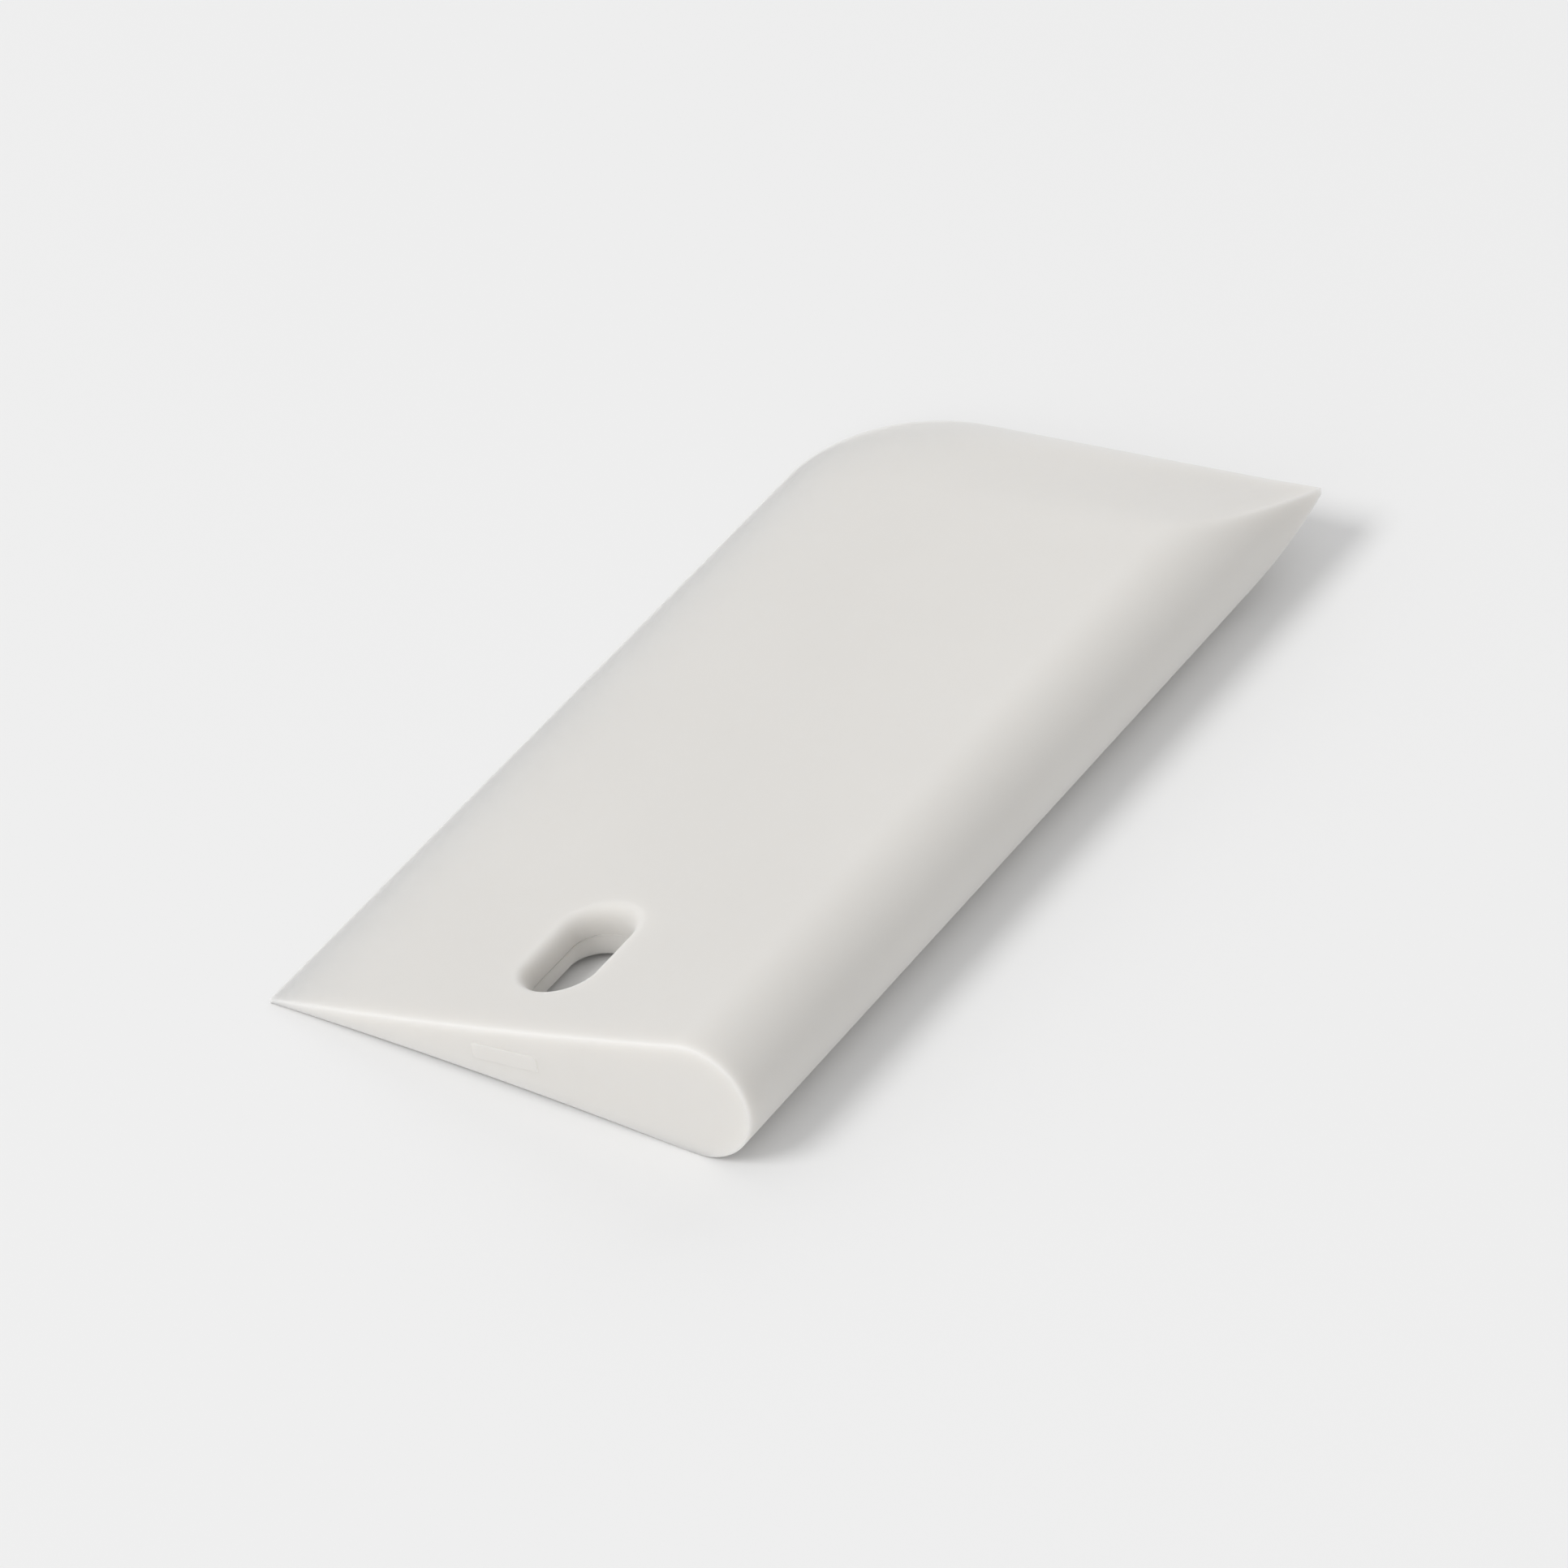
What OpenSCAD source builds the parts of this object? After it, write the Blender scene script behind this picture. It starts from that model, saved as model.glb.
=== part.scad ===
// Bench scraper: a soft silicone skin moulded over a stiff nylon core.
// It lies as it does on a worktop, with its long thin edge towards +Y, its round spine towards -Y and its
// bevelled end towards +X. The origin is under the middle of its box, on the worktop.

/* [Blade] */
// Length from the square end to the bevelled end
blade_length = 156; // [140:1:180]
// Width from the thin edge to the back of the spine
blade_width = 75; // [70:1:90]
// Thickness of the long thin edge
edge_thickness = 0.7; // [0.6:0.1:1.2]
// Radius of the round spine that the hand holds
spine_radius = 8.75; // [8:0.25:10]
// Radius of the shallow hollow of the two broad sides
side_hollow_radius = 750; // [600:50:1500]
// Radius of the rounded corner between the thin edge and the bevelled end
corner_radius = 20.5; // [12:0.5:24]

/* [Bevelled end] */
// Length of the bevel at the spine
bevel_length = 25.5; // [22:0.5:30]
// Thickness of the bevelled end's edge
bevel_edge_thickness = 0.55; // [0.4:0.05:0.6]
// Thickness of the bevelled end's blunt tip, at the back of the spine
tip_thickness = 1; // [0.6:0.1:1.4]

/* [Hanging slot] */
// Length of the slot, end to end
slot_length = 18.4; // [14:0.2:20]
// Width of the slot
slot_width = 9.4; // [8:0.2:10]
// Distance from the square end to the middle of the slot
slot_from_end = 19.8; // [18:0.1:24]
// Distance from the thin edge to the middle of the slot
slot_from_edge = 37.3; // [36:0.1:42]
// Width of the slot's soft rims
slot_rim_width = 1.9; // [1:0.1:2.6]
// Depth of the slot's soft rims
slot_rim_depth = 3.2; // [2:0.1:3.4]

/* [End pad] */
// Length of the plain pad, the mould's gate mark, on the square end
pad_length = 10; // [6:0.5:12]
// Width of the pad
pad_width = 2.4; // [1.6:0.2:3]
// How far the pad stands out of the square end
pad_rise = 0.1; // [0.05:0.05:0.3]

/* [Core] */
// Thickness of silicone over the thick part of the core
skin_thickness = 1.4; // [1.2:0.1:2]
// Thickness of the core's flat web
web_thickness = 1; // [0.8:0.1:1.2]
// Distance from the thin edge to the core's web
web_setback = 8; // [8:0.5:14]
// Silicone left between the slot and the core
slot_lining = 2.2; // [1.6:0.1:3]
// Diameter of the holes in the web that the silicone flows through
bond_hole_diameter = 5; // [3:0.5:6]
// Number of pockets along the spine of the core
pocket_count = 6; // [4:1:8]

/* [Hidden] */
$fn = 128;

skin_colour = [0.86, 0.85, 0.83];
core_colour = [0.80, 0.78, 0.72];
side_steps = 14;
bevel_steps = 8;
margin = 2;
pad_corner = 0.4;

edge_half = edge_thickness / 2;
bevel_half = bevel_edge_thickness / 2;
tip_rise = (tip_thickness - bevel_edge_thickness) / 2;
web_half = web_thickness / 2;

// The section's plane runs from the thin edge (distance 0) to the spine, with height measured from mid-plane.
spine_centre = blade_width - spine_radius;

// Centre of the circle that hollows a side: it passes the thin edge's corner and touches the spine's circle.
edge_to_spine = norm([spine_centre, edge_half]);
along = (pow(side_hollow_radius, 2) - pow(side_hollow_radius + spine_radius, 2)
    + pow(edge_to_spine, 2)) / (2 * edge_to_spine);
across = sqrt(pow(side_hollow_radius, 2) - pow(along, 2));
edge_to_spine_dir = [spine_centre, -edge_half] / edge_to_spine;
hollow_centre = [0, edge_half] + along * edge_to_spine_dir
    + across * [-edge_to_spine_dir[1], edge_to_spine_dir[0]];
touch_point = ([spine_centre, 0] * side_hollow_radius + hollow_centre * spine_radius)
    / (side_hollow_radius + spine_radius);

// The scraper rests on the thin edge and on the spine, so its mid-plane leans by this angle.
lean = asin(spine_radius / edge_to_spine) - atan2(edge_half, spine_centre);
rest_height = edge_half * cos(lean);
box_middle = (spine_centre * cos(lean) + spine_radius - edge_half * sin(lean)) / 2;

bevel_slope = (spine_radius - bevel_half) / bevel_length;
edge_slope = (edge_half - bevel_half) / bevel_length;

core_near_gap = 3;
core_grip_setback = 9;
core_far_gap = bevel_length + 1;
web_far_gap = 9;
tongue_far_gap = 12;
tongue_edges = [34, spine_centre + 2];
tongue_half = 2.6;
pocket_edges = [50, spine_centre + 3];
pocket_end_gap = 4;
pocket_rib = 2.4;
pocket_web = 2.4;
bond_hole_count = 6;
bond_hole_row = 20;

// Half thickness of the blade at a distance from the thin edge
function side_half(u) = hollow_centre[1] - sqrt(pow(side_hollow_radius, 2) - pow(u - hollow_centre[0], 2));

// How fast the side rises towards the spine, as a slope
function side_slope(u) = (u - hollow_centre[0]) / (hollow_centre[1] - side_half(u));

// Half thickness of the core at a distance from the thin edge
function core_half(u) = max(web_half, side_half(u) - skin_thickness);

// Half thickness left by the bevel, at a distance u from the thin edge and d from the bevelled end
function bevel_height(u, d) = bevel_half + tip_rise * max(u - spine_centre, 0) / spine_radius
    + d * (edge_slope + (bevel_slope - edge_slope) * min(max(u, 0) / spine_centre, 1));

function steps(from, to, count) = [for (i = [0 : count]) from + (to - from) * i / count];

// Places children, drawn with x along the length and z up from the mid-plane, as the scraper lies
module lying_down() {
    translate([(pad_rise - blade_length) / 2, box_middle, rest_height])
        rotate([-lean, 0, 0])
            children();
}

// Extrudes a section drawn as [-distance from thin edge, height] along the length
module along_blade(from, to) {
    translate([from, 0, 0])
        rotate([90, 0, 90])
            linear_extrude(to - from)
                children();
}

// A closed wedge that widens towards the spine, from a list of distances and a list of half thicknesses
module wedge_section(distances, halves) {
    last = len(distances) - 1;
    polygon(concat(
        [for (i = [0 : last]) [-distances[i], halves[i]]],
        [for (i = [last : -1 : 0]) [-distances[i], -halves[i]]]));
}

// The part of a spine's circle that lies beyond the wedge
module spine_section(radius, wedge_end) {
    intersection() {
        translate([-spine_centre, 0])
            circle(radius);
        translate([-blade_width - margin, -spine_radius - margin])
            square([blade_width + margin - wedge_end, 2 * (spine_radius + margin)]);
    }
}

module blade_section() {
    distances = steps(0, touch_point[0], side_steps);
    wedge_section(distances, [for (u = distances) side_half(u)]);
    spine_section(spine_radius, touch_point[0]);
}

// The square corner outside a rounded one, which leaves a blade that ends at far_x with its edge at setback
module corner_waste(far_x, setback, radius) {
    translate([far_x - radius, -setback - radius, -blade_width / 2])
        difference() {
            cube([radius + margin, radius + margin, blade_width]);
            cylinder(r = radius, h = blade_width);
        }
}

// What the bevel removes above the mid-plane: below, a surface ruled from the thin end edge to a straight
// line across the blade; above, a flat top clear of the blade.
module bevel_waste() {
    rows = concat([-margin], steps(0, spine_centre, side_steps), [blade_width + margin]);
    columns = steps(-margin, bevel_length + margin, bevel_steps);
    nu = len(rows);
    nd = len(columns);
    top = spine_radius + margin;
    under = [for (u = rows) for (d = columns) [blade_length - d, -u, bevel_height(u, d)]];
    lid = [for (u = [rows[0], rows[nu - 1]]) for (d = [columns[0], columns[nd - 1]])
        [blade_length - d, -u, top]];
    a = nu * nd;
    under_faces = [for (i = [0 : nu - 2]) for (j = [0 : nd - 2]) for (half = [0, 1])
        half == 0
            ? [i * nd + j, (i + 1) * nd + j + 1, (i + 1) * nd + j]
            : [i * nd + j, i * nd + j + 1, (i + 1) * nd + j + 1]];
    edge_side = concat([a + 1], [for (j = [nd - 1 : -1 : 0]) j], [a]);
    spine_side = concat([a + 2], [for (j = [0 : nd - 1]) (nu - 1) * nd + j], [a + 3]);
    end_side = concat([a], [for (i = [0 : nu - 1]) i * nd], [a + 2]);
    start_side = concat([a + 3], [for (i = [nu - 1 : -1 : 0]) i * nd + nd - 1], [a + 1]);
    polyhedron(
        points = concat(under, lid),
        faces = concat(under_faces, [edge_side, spine_side, end_side, start_side, [a, a + 2, a + 3, a + 1]]),
        convexity = 4);
}

// A straight slot with round ends, cut square to the mid-plane
module slot_cut(wider = 0) {
    radius = slot_width / 2 + wider;
    reach = (slot_length - slot_width) / 2;
    translate([slot_from_end, -slot_from_edge, -blade_width / 2]) {
        for (side = [-1, 1])
            translate([side * reach, 0, 0])
                cylinder(r = radius, h = blade_width);
        translate([-reach, -radius, 0])
            cube([2 * reach, 2 * radius, blade_width]);
    }
}

// One side of the slot's flare, drawn as deep as it is wide: a square corner less the soft rim's circle
module rim_section() {
    flared = slot_width / 2 + slot_rim_width;
    difference() {
        translate([0, -slot_rim_width])
            square([flared, slot_rim_width + margin]);
        translate([flared, -slot_rim_width])
            circle(slot_rim_width);
    }
}

// The flare above the mid-plane, stretched to its depth and sheared to lie along the broad side
module slot_rim() {
    reach = (slot_length - slot_width) / 2;
    multmatrix([[1, 0, 0, slot_from_end],
        [0, 1, 0, -slot_from_edge],
        [0, -side_slope(slot_from_edge), slot_rim_depth / slot_rim_width, side_half(slot_from_edge)],
        [0, 0, 0, 1]]) {
        for (side = [-1, 1])
            translate([side * reach, 0, 0])
                rotate_extrude()
                    rim_section();
        for (side = [0, 1])
            mirror([0, side, 0])
                translate([-reach, 0, 0])
                    rotate([90, 0, 90])
                        linear_extrude(2 * reach)
                            rim_section();
    }
}

module end_pad() {
    length = pad_length - 2 * pad_corner;
    width = pad_width - 2 * pad_corner;
    translate([-pad_rise, -slot_from_edge, 0])
        rotate([90, 0, 90])
            linear_extrude(pad_rise + margin) {
                square([pad_length, width], center = true);
                square([length, pad_width], center = true);
                for (x = [-1, 1])
                    for (y = [-1, 1])
                        translate([x * length / 2, y * width / 2])
                            circle(pad_corner);
            }
}

module blade_body() {
    difference() {
        along_blade(0, blade_length)
            blade_section();
        corner_waste(blade_length, 0, corner_radius);
        bevel_waste();
        mirror([0, 0, 1])
            bevel_waste();
        slot_cut();
        slot_rim();
        mirror([0, 0, 1])
            slot_rim();
    }
    end_pad();
}

// The thick part of the core follows the skin's outline from the web to the spine
module core_grip() {
    start = web_setback + core_grip_setback;
    distances = steps(start, touch_point[0], side_steps);
    along_blade(core_near_gap, blade_length - core_far_gap) {
        wedge_section(distances, [for (u = distances) core_half(u)]);
        spine_section(core_half(touch_point[0]), touch_point[0]);
    }
}

// The flat web reaches close to the thin edge and the bevelled end
module core_web() {
    far_x = blade_length - web_far_gap;
    difference() {
        translate([core_near_gap, -spine_centre, -web_half])
            cube([far_x - core_near_gap, spine_centre - web_setback, web_thickness]);
        corner_waste(far_x, web_setback, corner_radius - web_setback);
    }
}

// A tapered tongue stiffens the bevelled end
module core_tongue() {
    root_x = blade_length - core_far_gap;
    tip_x = blade_length - tongue_far_gap;
    translate([0, -tongue_edges[0], 0])
        rotate([90, 0, 0])
            linear_extrude(tongue_edges[1] - tongue_edges[0])
                polygon([[root_x - margin, tongue_half], [root_x, tongue_half], [tip_x, web_half],
                    [tip_x, -web_half], [root_x, -tongue_half], [root_x - margin, -tongue_half]]);
}

// Pockets from both faces keep the spine's walls even and key the silicone to the core
module core_pockets() {
    from = core_near_gap + pocket_end_gap;
    to = blade_length - core_far_gap - pocket_end_gap;
    pitch = (to - from + pocket_rib) / pocket_count;
    for (i = [0 : pocket_count - 1])
        for (side = [0, 1])
            mirror([0, 0, side])
                translate([from + i * pitch, -pocket_edges[1], pocket_web / 2])
                    cube([pitch - pocket_rib, pocket_edges[1] - pocket_edges[0], spine_radius]);
}

module core_bond_holes() {
    from = slot_from_end + slot_length;
    to = blade_length - bevel_length;
    for (x = steps(from, to, bond_hole_count - 1))
        translate([x, -bond_hole_row, -spine_radius])
            cylinder(d = bond_hole_diameter, h = 2 * spine_radius);
}

module core_body() {
    difference() {
        union() {
            core_grip();
            core_web();
            core_tongue();
        }
        slot_cut(slot_lining);
        core_pockets();
        core_bond_holes();
    }
}

module silicone_skin() {
    color(skin_colour)
        lying_down()
            difference() {
                blade_body();
                core_body();
            }
}

module nylon_core() {
    color(core_colour)
        lying_down()
            core_body();
}

silicone_skin();
nylon_core();
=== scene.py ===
"""Looks for the bench scraper: the moulded silicone skin, its hidden core, the worktop, light and camera."""
import math
import bmesh
import bpy
from mathutils import Matrix, Vector


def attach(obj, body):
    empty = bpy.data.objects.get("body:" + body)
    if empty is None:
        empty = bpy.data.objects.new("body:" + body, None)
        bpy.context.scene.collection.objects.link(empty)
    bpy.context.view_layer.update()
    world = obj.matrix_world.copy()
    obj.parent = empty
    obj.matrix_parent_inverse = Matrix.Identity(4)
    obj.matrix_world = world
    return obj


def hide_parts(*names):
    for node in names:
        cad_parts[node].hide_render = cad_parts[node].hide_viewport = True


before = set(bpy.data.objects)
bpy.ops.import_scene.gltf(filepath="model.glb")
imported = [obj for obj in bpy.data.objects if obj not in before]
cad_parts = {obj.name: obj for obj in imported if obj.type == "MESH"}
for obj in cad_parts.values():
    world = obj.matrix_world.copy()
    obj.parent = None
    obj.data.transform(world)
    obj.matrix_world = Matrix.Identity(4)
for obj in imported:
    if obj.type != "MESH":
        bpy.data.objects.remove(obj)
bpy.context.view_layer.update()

# ---------------------------------------------------------------- the scraper, in millimetres
MM = 0.001
LENGTH = 156.0
SPINE_RADIUS = 8.75
WIDTH = 75.0
EDGE_THICKNESS = 0.7
SIDE_HOLLOW_RADIUS = 750.0
CORNER_RADIUS = 20.5
BEVEL_LENGTH = 25.5
BEVEL_EDGE_THICKNESS = 0.55
TIP_THICKNESS = 1.0
SLOT_LENGTH, SLOT_WIDTH = 18.4, 9.4
SLOT_FROM_END, SLOT_FROM_EDGE = 19.8, 37.3
PAD_LENGTH, PAD_WIDTH, PAD_CORNER, PAD_RISE = 10.0, 2.4, 0.4, 0.1

CREASE_SHARPNESS = 20.0     # how tightly the bevel meets the blade: higher is crisper
OUTLINE_ROUND = 0.2         # radius along the thin edge and the bevelled end
RIM_ROUND = 0.4             # radius round the square end
SLOT_RIM_WIDTH, SLOT_RIM_DEPTH = 1.9, 3.2
PARTING_RIDGE = 0.09        # the fine mould line at mid-depth in the slot
PAD_SIDE = 0.06             # how far the pad's soft side spreads

EDGE_HALF = EDGE_THICKNESS / 2
BEVEL_HALF = BEVEL_EDGE_THICKNESS / 2
TIP_HALF = TIP_THICKNESS / 2
SPINE_CENTRE = WIDTH - SPINE_RADIUS

# The hollow side's circle passes the thin edge's corner and touches the spine's circle from outside.
EDGE_TO_SPINE = math.hypot(SPINE_CENTRE, EDGE_HALF)
ALONG = (SIDE_HOLLOW_RADIUS**2 - (SIDE_HOLLOW_RADIUS + SPINE_RADIUS)**2
         + EDGE_TO_SPINE**2) / (2 * EDGE_TO_SPINE)
ACROSS = math.sqrt(SIDE_HOLLOW_RADIUS**2 - ALONG**2)
HOLLOW_U = (ALONG * SPINE_CENTRE + ACROSS * EDGE_HALF) / EDGE_TO_SPINE
HOLLOW_V = EDGE_HALF + (ACROSS * SPINE_CENTRE - ALONG * EDGE_HALF) / EDGE_TO_SPINE
TOUCH_ANGLE = math.atan2(HOLLOW_V, HOLLOW_U - SPINE_CENTRE)
TOUCH_U = SPINE_CENTRE + SPINE_RADIUS * math.cos(TOUCH_ANGLE)

LEAN = math.asin(SPINE_RADIUS / EDGE_TO_SPINE) - math.atan2(EDGE_HALF, SPINE_CENTRE)
REST_HEIGHT = EDGE_HALF * math.cos(LEAN)
BOX_MIDDLE = (SPINE_CENTRE * math.cos(LEAN) + SPINE_RADIUS - EDGE_HALF * math.sin(LEAN)) / 2

BEVEL_SLOPE = (SPINE_RADIUS - BEVEL_HALF) / BEVEL_LENGTH
EDGE_SLOPE = (EDGE_HALF - BEVEL_HALF) / BEVEL_LENGTH

# ---------------------------------------------------------------- how finely the skin's mesh is divided
WIDE_STEP, SLOT_STEP = 1.2, 0.7             # between rows, and round the slot
NEAR_STEP, LONG_STEP = 1.0, 2.0             # between columns, before and after the slot
CORNER_TURN, SPINE_TURN, RIM_TURN = 3, 2.5, 10          # degrees between points of an arc
OUTLINE_TURNS = (30, 60, 90)
RIM_SHARES = (0.0, 0.04, 0.13, 0.29, 0.5, 0.74, 1.0)    # of the way in across the square end's rim
FAR_STEPS, FAR_MARGIN = 64, 5.0             # the far zone holds the bevel and a margin before it
RIM_GAP = 0.4                               # from the square end's rim to the first column
THIN_RIM_SHARE, THIN_OUTLINE_SHARE = 0.6, 0.75          # the most of the half thickness a rounding takes
END_LEVELS = 12                             # from an edge of the square end to its middle
PAD_LEVELS = (6, 18)                        # the two levels that bound the pad's patch
PAD_PATCH_MARGIN = 1.2
WELD_DISTANCE, FLAT_DISTANCE = 1e-6, 1e-7   # metres

SLOT_PATCH_X = (SLOT_FROM_END - 14.0, SLOT_FROM_END + 14.0)
SLOT_PATCH_U = (SLOT_FROM_EDGE - 10.0, SLOT_FROM_EDGE + 10.0)
FAR_ZONE = LENGTH - BEVEL_LENGTH - FAR_MARGIN

# ---------------------------------------------------------------- the stage, in metres
LIGHT_DISTANCE = 10.0       # far enough to light the worktop evenly
WORKTOP_HALF = 3.0
CAMERA_ELEVATION, CAMERA_AZIMUTH, CAMERA_ROLL = 0.6525, 0.5596, -0.0406     # radians
CAMERA_DISTANCE = 1.28034
CAMERA_AIM = Vector((-0.004553, 0.001494, 0.0))
CAMERA_LENS, CAMERA_SENSOR = 216.13, 36.0   # millimetres
CAMERA_CLIP = (0.05, 20.0)


# ---------------------------------------------------------------- the skin's shape
# A place on the blade is (x from the square end, u from the thin edge, v up from the mid-plane).
def placed(x, u, v):
    """The same place in the row's frame, in metres, with the scraper lying down."""
    y = -u * math.cos(LEAN) + v * math.sin(LEAN) + BOX_MIDDLE
    z = u * math.sin(LEAN) + v * math.cos(LEAN) + REST_HEIGHT
    return Vector(((x - (LENGTH - PAD_RISE) / 2) * MM, y * MM, z * MM))


def side_half(u):
    """Half thickness of the hollow side."""
    return HOLLOW_V - math.sqrt(SIDE_HOLLOW_RADIUS**2 - (u - HOLLOW_U)**2)


def bevel_height(u, x):
    """Half thickness left by the bevel."""
    share = min(max(u, 0.0) / SPINE_CENTRE, 1.0)
    blunt = (TIP_HALF - BEVEL_HALF) * max(u - SPINE_CENTRE, 0.0) / SPINE_RADIUS
    return BEVEL_HALF + blunt + (LENGTH - x) * (EDGE_SLOPE + (BEVEL_SLOPE - EDGE_SLOPE) * share)


def soft_lower(a, b):
    """The lower of two heights, blended where they are nearly equal."""
    if a <= 0.0:
        return 0.0
    return a / (1.0 + (a / b)**CREASE_SHARPNESS)**(1.0 / CREASE_SHARPNESS)


def surface(x, u):
    """Height of the broad side above the mid-plane."""
    return soft_lower(side_half(u), bevel_height(u, x))


def steps(start, stop, size):
    """Even steps no longer than size, without the last value."""
    count = max(1, math.ceil((stop - start) / size - 1e-9))
    return [start + (stop - start) * i / count for i in range(count)]


def section_rows():
    """The upper section from the thin edge to the nose: (u, v, outward normal in u and v, rim radius)."""
    rows = []
    inner = CORNER_RADIUS - OUTLINE_ROUND
    us = [CORNER_RADIUS - inner * math.cos(math.radians(a)) for a in range(0, 90, CORNER_TURN)]
    us += steps(CORNER_RADIUS, SLOT_PATCH_U[0], WIDE_STEP)
    us += steps(SLOT_PATCH_U[0], SLOT_PATCH_U[1], SLOT_STEP)
    us += steps(SLOT_PATCH_U[1], TOUCH_U, WIDE_STEP)
    for u in us:
        v = side_half(u)
        tilt = math.asin((u - HOLLOW_U) / SIDE_HOLLOW_RADIUS)
        rows.append((u, v, math.sin(tilt), math.cos(tilt), min(RIM_ROUND, THIN_RIM_SHARE * v)))
    for angle in arc_steps():
        u = SPINE_CENTRE + SPINE_RADIUS * math.cos(angle)
        v = SPINE_RADIUS * math.sin(angle)
        rows.append((u, v, math.cos(angle), math.sin(angle), RIM_ROUND))
    return rows


def arc_steps():
    """Angles round the spine, from where the hollow side touches it to the nose."""
    count = math.ceil(math.degrees(TOUCH_ANGLE) / SPINE_TURN)
    return [TOUCH_ANGLE * (1 - i / count) for i in range(count + 1)]


def row_end(u):
    """Where a row stops, just inside the rounded corner or the bevelled end."""
    if u >= CORNER_RADIUS:
        return LENGTH - OUTLINE_ROUND
    inner = CORNER_RADIUS - OUTLINE_ROUND
    return LENGTH - CORNER_RADIUS + math.sqrt(max(0.0, inner**2 - (CORNER_RADIUS - u)**2))


def column_places():
    """Fixed x positions between the rim and the far zone."""
    xs = steps(RIM_ROUND + RIM_GAP, SLOT_PATCH_X[0], NEAR_STEP)
    xs += steps(SLOT_PATCH_X[0], SLOT_PATCH_X[1], SLOT_STEP)
    xs += steps(SLOT_PATCH_X[1], FAR_ZONE, LONG_STEP)
    return xs


def broad_side():
    """The upper side as a grid of places, one row for each point of the section."""
    grid = []
    for u, v, nu, nv, rim in section_rows():
        row = []
        for share in RIM_SHARES:
            x = share * rim
            sunk = rim - math.sqrt(max(0.0, rim**2 - (rim - x)**2))
            row.append((x, u - nu * sunk, max(0.0, v - nv * sunk)))
        for x in column_places():
            row.append((x, u, soft_lower(v, bevel_height(u, x))))
        end = row_end(u)
        for step in range(FAR_STEPS + 1):
            x = FAR_ZONE + step / FAR_STEPS * (end - FAR_ZONE)
            row.append((x, u, soft_lower(v, bevel_height(u, x))))
        grid.append(row)
    return grid


def edge_strip(grid):
    """Rounds the outline from the grid's border down to the mid-plane, as rows along the border."""
    border = list(grid[0]) + [row[-1] for row in grid[1:]]
    strip = [border]
    for turn in OUTLINE_TURNS:
        strip.append([rounded_out(place, math.radians(turn)) for place in border])
    strip.append([(x, u, 0.0) for x, u, v in strip[-1]])
    return strip


def rounded_out(place, turn):
    """A border place moved out and down round the outline's small radius."""
    x, u, v = place
    if x <= LENGTH - CORNER_RADIUS:
        out = (0.0, -1.0)
    elif u >= CORNER_RADIUS:
        out = (1.0, 0.0)
    else:
        dx, du = x - (LENGTH - CORNER_RADIUS), u - CORNER_RADIUS
        far = math.hypot(dx, du)
        out = (dx / far, du / far)
    move = OUTLINE_ROUND * math.sin(turn)
    drop = min(OUTLINE_ROUND, THIN_OUTLINE_SHARE * v) * (1 - math.cos(turn))
    return (x + out[0] * move, u + out[1] * move, v - drop)


def outline(place, centre, reach, rise, radius):
    """The point of a round-cornered outline that faces a place, both in the outline's plane."""
    a = centre[0] + min(max(place[0] - centre[0], -reach), reach)
    b = centre[1] + min(max(place[1] - centre[1], -rise), rise)
    da, db = place[0] - a, place[1] - b
    far = math.hypot(da, db)
    return (a + da / far * radius, b + db / far * radius)


def slot_rings(border):
    """From the patch's border to the slot's rim, down the soft rim and the wall to the parting line."""
    centre = (SLOT_FROM_END, SLOT_FROM_EDGE)
    reach = (SLOT_LENGTH - SLOT_WIDTH) / 2
    wall = SLOT_WIDTH / 2

    def at(extra):
        return [outline(p, centre, reach, 0.0, wall + extra) for p in border]

    rings = [border]
    rim = at(SLOT_RIM_WIDTH)
    for share in (0.2, 0.4, 0.6, 0.8, 0.93, 1.0):
        ring = [(p[0] + (q[0] - p[0]) * share, p[1] + (q[1] - p[1]) * share) for p, q in zip(border, rim)]
        rings.append([(x, u, surface(x, u)) for x, u in ring])
    for turn in range(RIM_TURN, 91, RIM_TURN):
        angle = math.radians(turn)
        ring = at(SLOT_RIM_WIDTH * (1 - math.sin(angle)))
        rings.append([(x, u, surface(x, u) - SLOT_RIM_DEPTH * (1 - math.cos(angle))) for x, u in ring])
    top = rings[-1]
    for share in (0.75, 0.5, 0.25, 0.1):
        rings.append([(x, u, v * share) for x, u, v in top])
    rings.append([(x, u, PARTING_RIDGE) for x, u, v in top])
    ridge = at(-PARTING_RIDGE * 0.8)
    rings.append([(x, u, PARTING_RIDGE * 0.4) for x, u in ridge])
    rings.append([(x, u, 0.0) for x, u in ridge])
    return rings


def pad_rings(border):
    """From a border on the square end to the foot of the plain pad, up its soft side and over its top."""
    centre = (SLOT_FROM_EDGE, 0.0)
    reach, rise = PAD_LENGTH / 2 - PAD_CORNER, PAD_WIDTH / 2 - PAD_CORNER
    flat = [(u, v) for x, u, v in border]
    foot = [outline(p, centre, reach, rise, PAD_CORNER + PAD_SIDE) for p in flat]
    rings = [border]
    for share in (0.5, 0.85, 1.0):
        rings.append([(0.0, p[0] + (q[0] - p[0]) * share, p[1] + (q[1] - p[1]) * share)
                      for p, q in zip(flat, foot)])
    for out, up in ((0.7, 0.15), (0.3, 0.6), (0.0, 0.9), (-0.6, 1.0), (-2.0, 1.0)):
        ring = [outline(p, centre, reach, rise, PAD_CORNER + PAD_SIDE * out) for p in flat]
        rings.append([(-PAD_RISE * up, u, v) for u, v in ring])
    return rings


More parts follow.
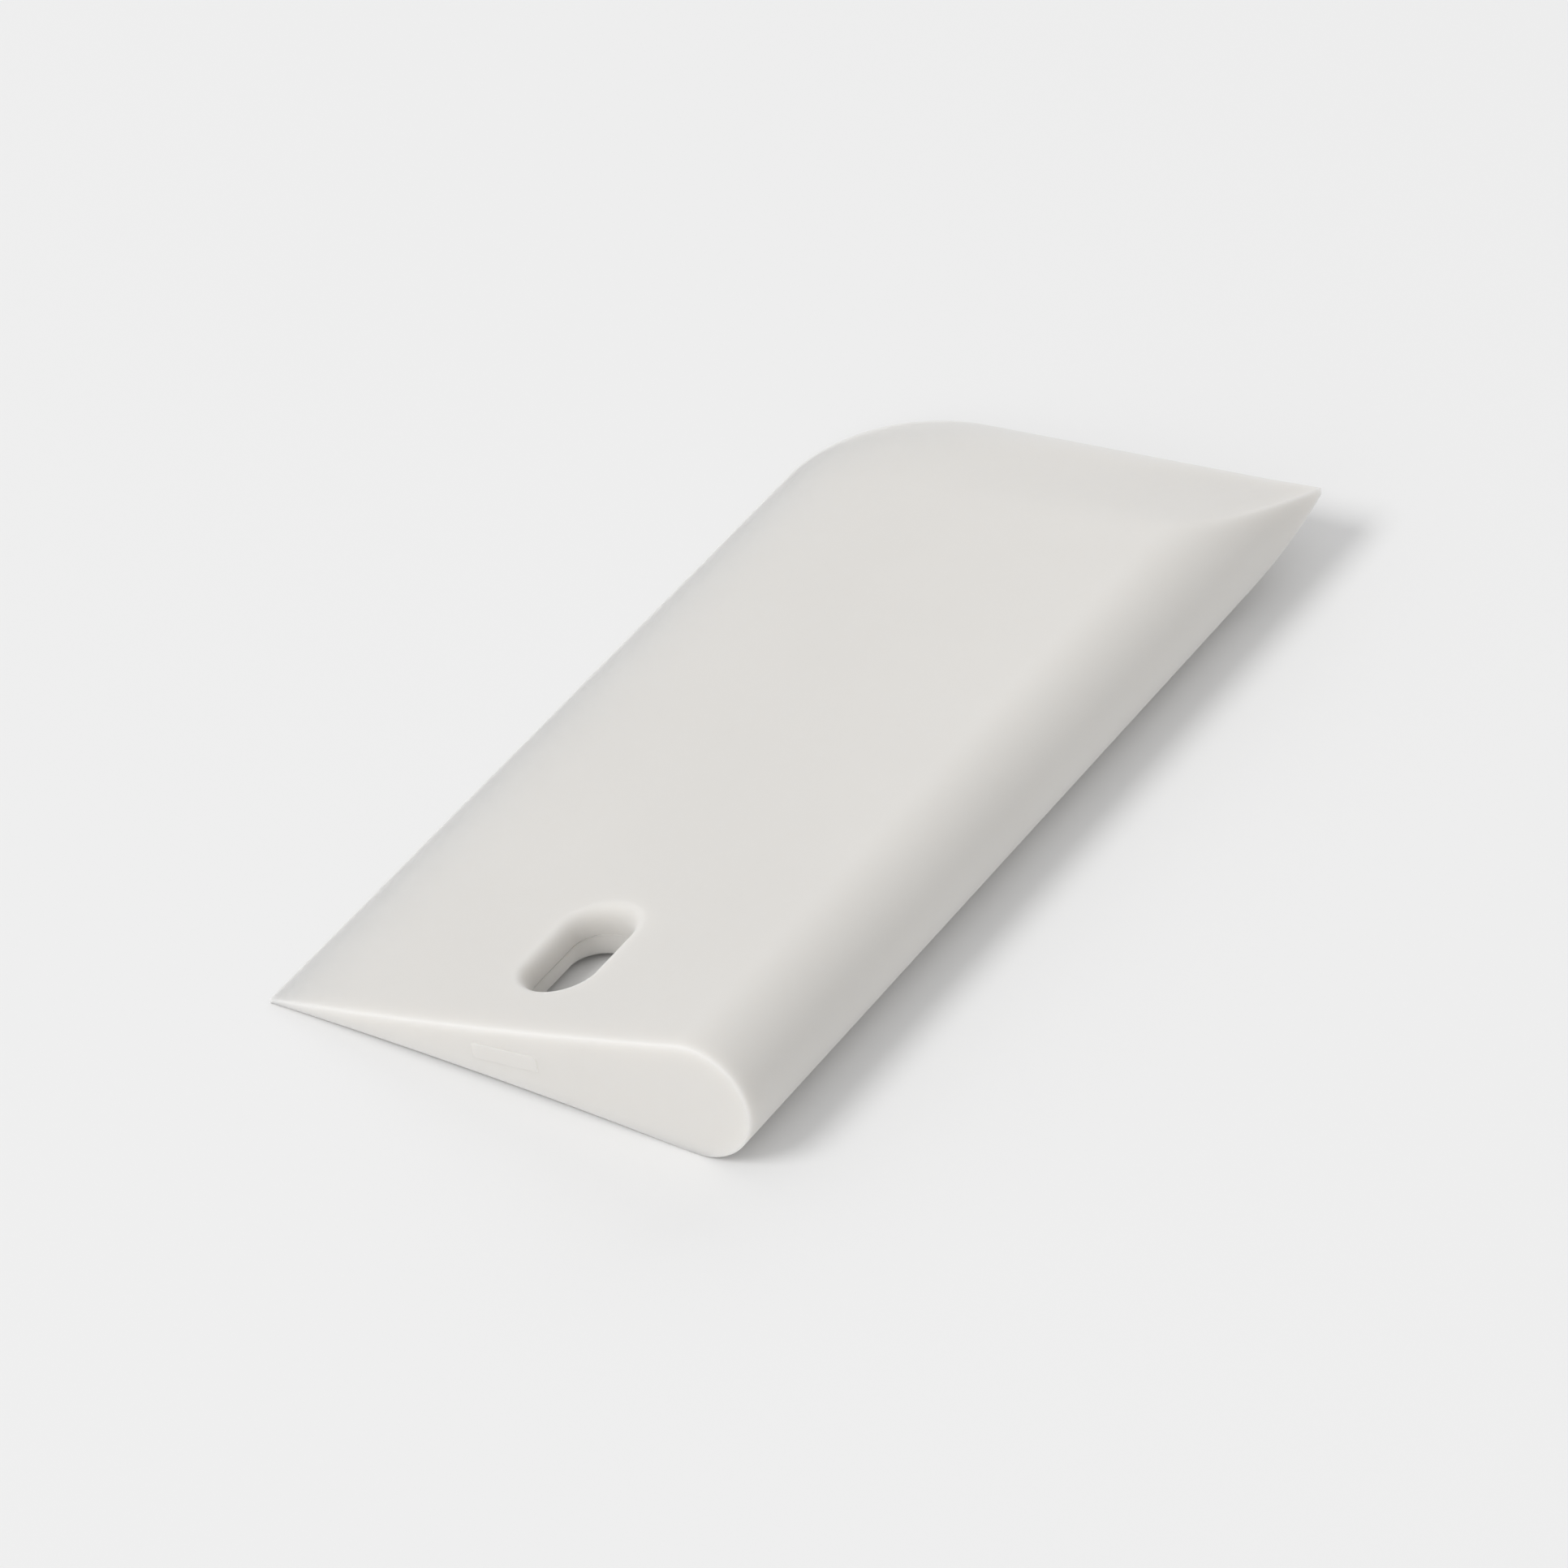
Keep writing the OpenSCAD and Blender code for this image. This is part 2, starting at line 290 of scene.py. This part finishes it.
# ---------------------------------------------------------------- mesh building
class Net:
    """Collects quads between rows of places, and welds them into one mesh."""

    def __init__(self):
        self.points, self.faces = [], []

    def strip(self, rows, closed=False, skip=None):
        """Quads between neighbouring rows; skip says which cells of an open grid to leave out."""
        start = len(self.points)
        width = len(rows[0])
        for row in rows:
            self.points += row
        across = width if closed else width - 1
        for i in range(len(rows) - 1):
            for j in range(across):
                if skip and skip(i, j):
                    continue
                a, b = start + i * width + j, start + i * width + (j + 1) % width
                self.faces.append((a, b, b + width, a + width))

    def mirrored(self):
        """Adds the same faces below the mid-plane."""
        start = len(self.points)
        self.points += [(x, u, -v) for x, u, v in self.points]
        self.faces += [tuple(start + i for i in reversed(f)) for f in self.faces]

    def mesh(self, name):
        data = bpy.data.meshes.new(name)
        data.from_pydata([placed(*p) for p in self.points], [], self.faces)
        bm = bmesh.new()
        bm.from_mesh(data)
        bmesh.ops.remove_doubles(bm, verts=bm.verts, dist=WELD_DISTANCE)
        bmesh.ops.dissolve_degenerate(bm, dist=FLAT_DISTANCE, edges=bm.edges)
        bmesh.ops.recalc_face_normals(bm, faces=bm.faces)
        for face in bm.faces:
            face.smooth = True
        bm.to_mesh(data)
        bm.free()
        return data


def block_border(rows, low_i, high_i, low_j, high_j):
    """The places round a rectangular block of a grid, once round."""
    border = [rows[low_i][j] for j in range(low_j, high_j)]
    border += [rows[i][high_j] for i in range(low_i, high_i)]
    border += [rows[high_i][j] for j in range(high_j, low_j, -1)]
    border += [rows[i][low_j] for i in range(high_i, low_i, -1)]
    return border


def nearest(values, wanted):
    """The index of the value that is closest to the wanted one."""
    return min(range(len(values)), key=lambda i: abs(values[i] - wanted))


def skin_mesh():
    """The scraper's whole outside as one closed mesh."""
    grid = broad_side()
    strip = edge_strip(grid)
    net = Net()

    us = [row[len(RIM_SHARES)][1] for row in grid]
    xs = [place[0] for place in grid[-1]]
    i0, i1 = nearest(us, SLOT_PATCH_U[0]), nearest(us, SLOT_PATCH_U[1])
    j0, j1 = nearest(xs, SLOT_PATCH_X[0]), nearest(xs, SLOT_PATCH_X[1])
    net.strip(grid, skip=lambda i, j: i0 <= i < i1 and j0 <= j < j1)
    net.strip(strip)
    net.strip(slot_rings(block_border(grid, i0, i1, j0, j1)), closed=True)
    net.mirrored()

    # The square end, from the upper rim to the lower one
    rim = [row[0] for row in reversed(strip[1:])] + [row[0] for row in grid]
    levels = [1 - i / END_LEVELS for i in range(2 * END_LEVELS + 1)]
    end = [[(x, u, v * level) for level in levels] for x, u, v in rim]
    around = PAD_LENGTH / 2 + PAD_PATCH_MARGIN
    end_us = [p[1] for p in rim]
    k0, k1 = nearest(end_us, SLOT_FROM_EDGE - around), nearest(end_us, SLOT_FROM_EDGE + around)
    m0, m1 = PAD_LEVELS
    net.strip(end, skip=lambda i, j: k0 <= i < k1 and m0 <= j < m1)
    rings = pad_rings(block_border(end, k0, k1, m0, m1))
    net.strip(rings, closed=True)
    top = rings[-1]
    start = len(net.points)
    net.points += top
    net.faces.append(tuple(range(start, start + len(top))))
    return net.mesh("silicone_skin_surface")


# ---------------------------------------------------------------- materials
def new_material(name):
    material = bpy.data.materials.new(name)
    material.use_nodes = True
    nodes = material.node_tree.nodes
    return material, nodes, material.node_tree.links, nodes["Principled BSDF"]


def noise(nodes, links, scale, detail=2.0, roughness=0.5):
    """Noise in the object's own space."""
    where = nodes.new("ShaderNodeTexCoord")
    texture = nodes.new("ShaderNodeTexNoise")
    texture.inputs["Scale"].default_value = scale
    texture.inputs["Detail"].default_value = detail
    texture.inputs["Roughness"].default_value = roughness
    links.new(where.outputs["Object"], texture.inputs["Vector"])
    return texture


def ramp(nodes, links, source, stops):
    """A colour ramp over a texture's value."""
    node = nodes.new("ShaderNodeValToRGB")
    for index, (place, colour) in enumerate(stops):
        element = node.color_ramp.elements[index] if index < 2 else node.color_ramp.elements.new(place)
        element.position = place
        element.color = (*colour, 1.0)
    links.new(source, node.inputs["Fac"])
    return node


def bump(nodes, links, shader, textures):
    """Stacks small bumps, each (texture output, height in metres, strength)."""
    below = None
    for height, distance, strength in textures:
        node = nodes.new("ShaderNodeBump")
        node.inputs["Distance"].default_value = distance
        node.inputs["Strength"].default_value = strength
        links.new(height, node.inputs["Height"])
        if below:
            links.new(below.outputs["Normal"], node.inputs["Normal"])
        below = node
    links.new(below.outputs["Normal"], shader.inputs["Normal"])


def silicone():
    material, nodes, links, shader = new_material("matt_silicone")
    cloud = noise(nodes, links, 24.0, 3.0)
    tint = ramp(nodes, links, cloud.outputs["Fac"], (
        (0.3, (0.692, 0.676, 0.649)), (0.7, (0.710, 0.694, 0.667))))
    links.new(tint.outputs["Color"], shader.inputs["Base Color"])
    grain = noise(nodes, links, 2600.0, 2.0)
    skin = noise(nodes, links, 420.0, 3.0)
    rough = ramp(nodes, links, skin.outputs["Fac"], ((0.3, (0.56,) * 3), (0.7, (0.64,) * 3)))
    links.new(rough.outputs["Color"], shader.inputs["Roughness"])
    bump(nodes, links, shader, (
        (skin.outputs["Fac"], 0.00002, 0.25),
        (grain.outputs["Fac"], 0.00001, 0.35)))
    shader.inputs["Specular IOR Level"].default_value = 0.35
    shader.inputs["Subsurface Weight"].default_value = 1.0
    shader.inputs["Subsurface Radius"].default_value = (1.0, 0.97, 0.94)
    shader.inputs["Subsurface Scale"].default_value = 0.004
    return material


def glass_filled_nylon():
    material, nodes, links, shader = new_material("glass_filled_nylon")
    flow = noise(nodes, links, 60.0, 4.0)
    tint = ramp(nodes, links, flow.outputs["Fac"], (
        (0.3, (0.50, 0.46, 0.38)), (0.7, (0.60, 0.56, 0.47))))
    links.new(tint.outputs["Color"], shader.inputs["Base Color"])
    fibres = noise(nodes, links, 1500.0, 3.0, 0.7)
    rough = ramp(nodes, links, fibres.outputs["Fac"], ((0.3, (0.42,) * 3), (0.7, (0.58,) * 3)))
    links.new(rough.outputs["Color"], shader.inputs["Roughness"])
    bump(nodes, links, shader, ((fibres.outputs["Fac"], 0.00003, 0.4),))
    return material


def worktop():
    material, nodes, links, shader = new_material("pale_worktop")
    cloud = noise(nodes, links, 3.0)
    tint = ramp(nodes, links, cloud.outputs["Fac"], (
        (0.3, (0.850, 0.850, 0.850)), (0.7, (0.855, 0.855, 0.855))))
    links.new(tint.outputs["Color"], shader.inputs["Base Color"])
    shader.inputs["Roughness"].default_value = 0.9
    shader.inputs["Specular IOR Level"].default_value = 0.1
    return material


# ---------------------------------------------------------------- pieces
def add_skin():
    skin = bpy.data.objects.new("moulded_skin", skin_mesh())
    bpy.context.scene.collection.objects.link(skin)
    skin.data.materials.append(silicone())
    weighted = skin.modifiers.new("Weighted normals", "WEIGHTED_NORMAL")
    weighted.weight = 50
    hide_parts("silicone_skin")
    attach(skin, "root")


def finish_core():
    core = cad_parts["nylon_core"]
    material = glass_filled_nylon()
    for slot in core.material_slots:
        slot.material = material


def add_floor():
    half = WORKTOP_HALF
    corners = [(-half, -half, 0), (half, -half, 0), (half, half, 0), (-half, half, 0)]
    data = bpy.data.meshes.new("worktop")
    data.from_pydata(corners, [], [(0, 1, 2, 3)])
    floor = bpy.data.objects.new("worktop", data)
    floor.data.materials.append(worktop())
    bpy.context.scene.collection.objects.link(floor)


# ---------------------------------------------------------------- light and camera
def add_softbox(name, elevation, azimuth, lean, span, power):
    """A distant softbox that looks at the scraper. Span is the two angles that it fills, in degrees."""
    elevation, azimuth, lean = math.radians(elevation), math.radians(azimuth), math.radians(lean)
    back = Vector((math.cos(elevation) * math.cos(azimuth), math.cos(elevation) * math.sin(azimuth),
                   math.sin(elevation)))
    level = back.cross(Vector((0, 0, 1))).normalized()
    along = level * math.cos(lean) + level.cross(back) * math.sin(lean)
    across = back.cross(along)
    data = bpy.data.lights.new(name, "AREA")
    data.shape = "ELLIPSE"
    data.size = 2 * LIGHT_DISTANCE * math.tan(math.radians(span[0] / 2))
    data.size_y = 2 * LIGHT_DISTANCE * math.tan(math.radians(span[1] / 2))
    data.energy = power
    light = bpy.data.objects.new(name, data)
    light.matrix_world = Matrix((
        (along.x, across.x, back.x, back.x * LIGHT_DISTANCE),
        (along.y, across.y, back.y, back.y * LIGHT_DISTANCE),
        (along.z, across.z, back.z, back.z * LIGHT_DISTANCE),
        (0, 0, 0, 1)))
    bpy.context.scene.collection.objects.link(light)


def light_scene():
    add_softbox("key", 45.0, 154.0, 40.0, (30.0, 18.0), 439.0)
    add_softbox("far_fill", 30.0, 20.0, 0.0, (60.0, 40.0), 123.0)
    add_softbox("near_fill", 14.0, 180.0, 0.0, (50.0, 26.0), 58.0)
    world = bpy.data.worlds.new("studio")
    world.use_nodes = True
    world.node_tree.nodes["Background"].inputs["Color"].default_value = (1.0, 1.0, 1.0, 1.0)
    world.node_tree.nodes["Background"].inputs["Strength"].default_value = 0.643
    bpy.context.scene.world = world
    bpy.context.scene.view_settings.view_transform = "Standard"


def add_camera():
    elevation, azimuth, roll = CAMERA_ELEVATION, CAMERA_AZIMUTH, CAMERA_ROLL
    forward = Vector((math.cos(elevation) * math.cos(azimuth), math.cos(elevation) * math.sin(azimuth),
                      -math.sin(elevation)))
    level = forward.cross(Vector((0, 0, 1))).normalized()
    above = level.cross(forward)
    right = level * math.cos(roll) + above * math.sin(roll)
    up = above * math.cos(roll) - level * math.sin(roll)
    data = bpy.data.cameras.new("camera")
    data.sensor_width = CAMERA_SENSOR
    data.lens = CAMERA_LENS
    data.clip_start, data.clip_end = CAMERA_CLIP
    camera = bpy.data.objects.new("camera", data)
    camera.matrix_world = Matrix((
        (right.x, up.x, -forward.x, 0), (right.y, up.y, -forward.y, 0),
        (right.z, up.z, -forward.z, 0), (0, 0, 0, 1)))
    camera.location = CAMERA_AIM - forward * CAMERA_DISTANCE
    bpy.context.scene.collection.objects.link(camera)
    bpy.context.scene.camera = camera


add_camera()
add_skin()
finish_core()
add_floor()
light_scene()
